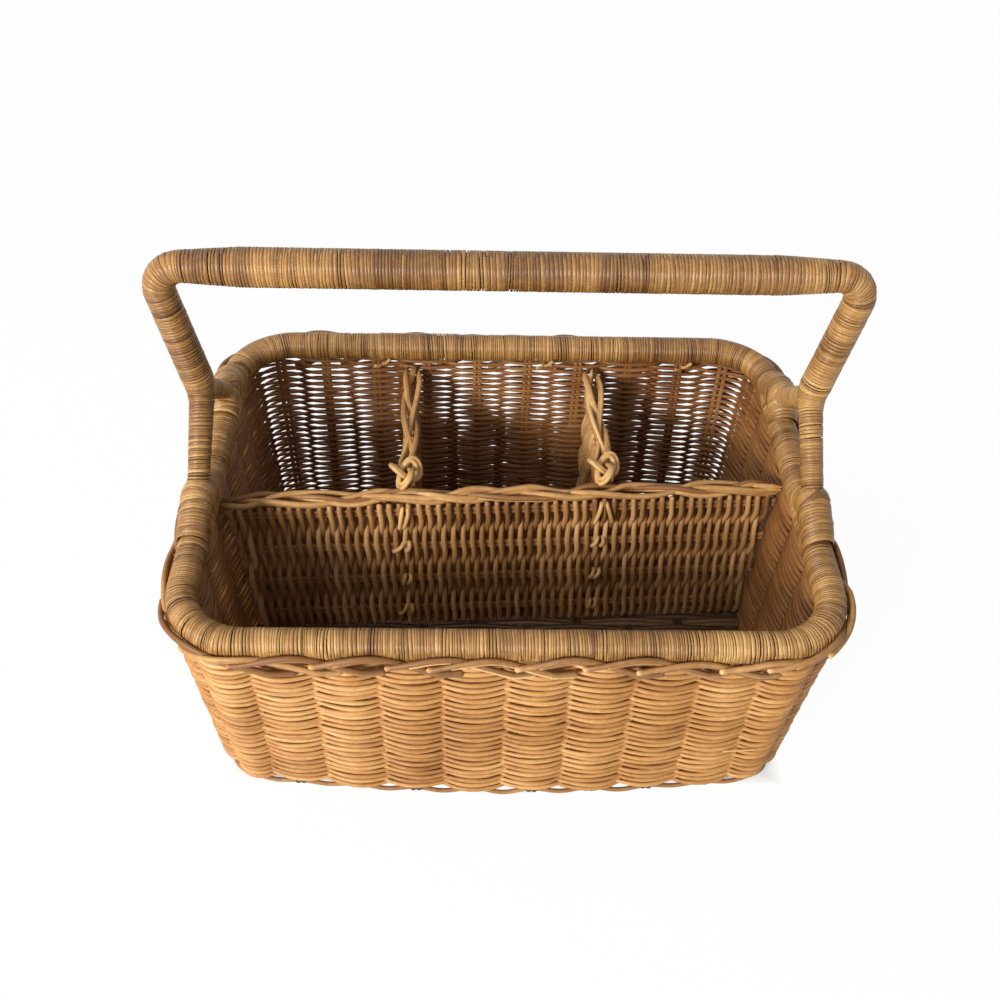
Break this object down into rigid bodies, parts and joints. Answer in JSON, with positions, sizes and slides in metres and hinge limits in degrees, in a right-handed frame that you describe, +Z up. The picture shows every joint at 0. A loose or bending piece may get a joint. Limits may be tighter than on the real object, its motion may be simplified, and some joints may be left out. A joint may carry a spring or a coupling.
{
  "type": "wicker cutlery caddy",
  "caption": "Rectangular woven rattan cutlery caddy with a long front compartment, three rear compartments and a bound carrying handle.",
  "frame": {"origin": "middle of the foot, on the surface that the caddy stands on", "axes": "+X along the handle bar and the long walls, +Y to the rear compartments, +Z up"},
  "size_m": [0.381, 0.2698, 0.2764],
  "materials": {
    "wall_cane": "satin",
    "inner_cane": "satin",
    "plait_cane": "satin",
    "binding_cane": "gloss",
    "cane_pole": "matt",
    "brad_steel": "satin"
  },
  "bodies": {
    "root": {"base_sticks": "inner_cane", "base_weavers": "inner_cane", "foot_rods": "plait_cane", "front_stakes": "wall_cane", "right_stakes": "wall_cane", "rear_stakes": "wall_cane", "left_stakes": "wall_cane", "front_weavers": "wall_cane", "right_weavers": "wall_cane", "rear_weavers": "wall_cane", "left_weavers": "wall_cane", "front_border": "plait_cane", "right_border": "plait_cane", "rear_border": "plait_cane", "left_border": "plait_cane", "rim_core": "cane_pole", "rim_binding": "binding_cane", "long_divider_stakes": "inner_cane", "long_divider_weavers": "inner_cane", "long_divider_plait": "plait_cane", "left_divider_stakes": "inner_cane", "left_divider_weavers": "inner_cane", "left_divider_plait": "plait_cane", "right_divider_stakes": "inner_cane", "right_divider_weavers": "inner_cane", "right_divider_plait": "plait_cane", "divider_knots": "plait_cane", "handle_pole": "cane_pole", "left_front_leg": "cane_pole", "left_rear_leg": "cane_pole", "right_front_leg": "cane_pole", "right_rear_leg": "cane_pole", "bar_binding": "binding_cane", "left_bend_binding": "binding_cane", "right_bend_binding": "binding_cane", "left_arm_binding": "binding_cane", "right_arm_binding": "binding_cane", "left_fork_binding": "binding_cane", "right_fork_binding": "binding_cane", "left_front_leg_binding": "binding_cane", "left_rear_leg_binding": "binding_cane", "right_front_leg_binding": "binding_cane", "right_rear_leg_binding": "binding_cane", "left_front_lashing": "binding_cane", "left_rear_lashing": "binding_cane", "right_front_lashing": "binding_cane", "right_rear_lashing": "binding_cane", "foot_nails": "brad_steel"}
  },
  "joints": []
}
